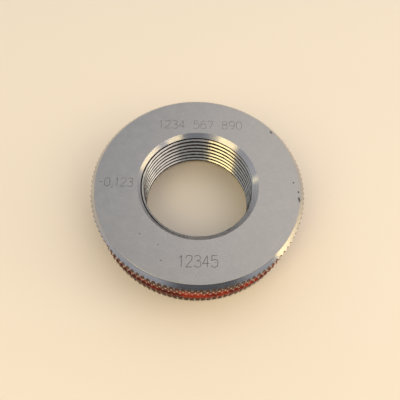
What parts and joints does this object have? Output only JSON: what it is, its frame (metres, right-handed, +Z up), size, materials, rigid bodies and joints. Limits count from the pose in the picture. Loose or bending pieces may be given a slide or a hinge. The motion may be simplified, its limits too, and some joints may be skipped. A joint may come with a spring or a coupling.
{
  "type": "thread ring gauge",
  "caption": "Flat steel ring with a countersunk threaded bore, a bevelled diamond-knurled rim and a groove round the middle of the rim, for checking screw threads.",
  "frame": {"origin": "centre of the lower face, on the bore axis", "axes": "+Z up the bore axis; the ring rests on its lower face at Z = 0"},
  "size_m": [0.052, 0.052, 0.0126],
  "materials": {
    "tool_steel": "lapped faces, turned bevels, knurled rim with red paint in its groove"
  },
  "bodies": {
    "root": {"gauge_ring": "tool_steel"}
  },
  "joints": []
}
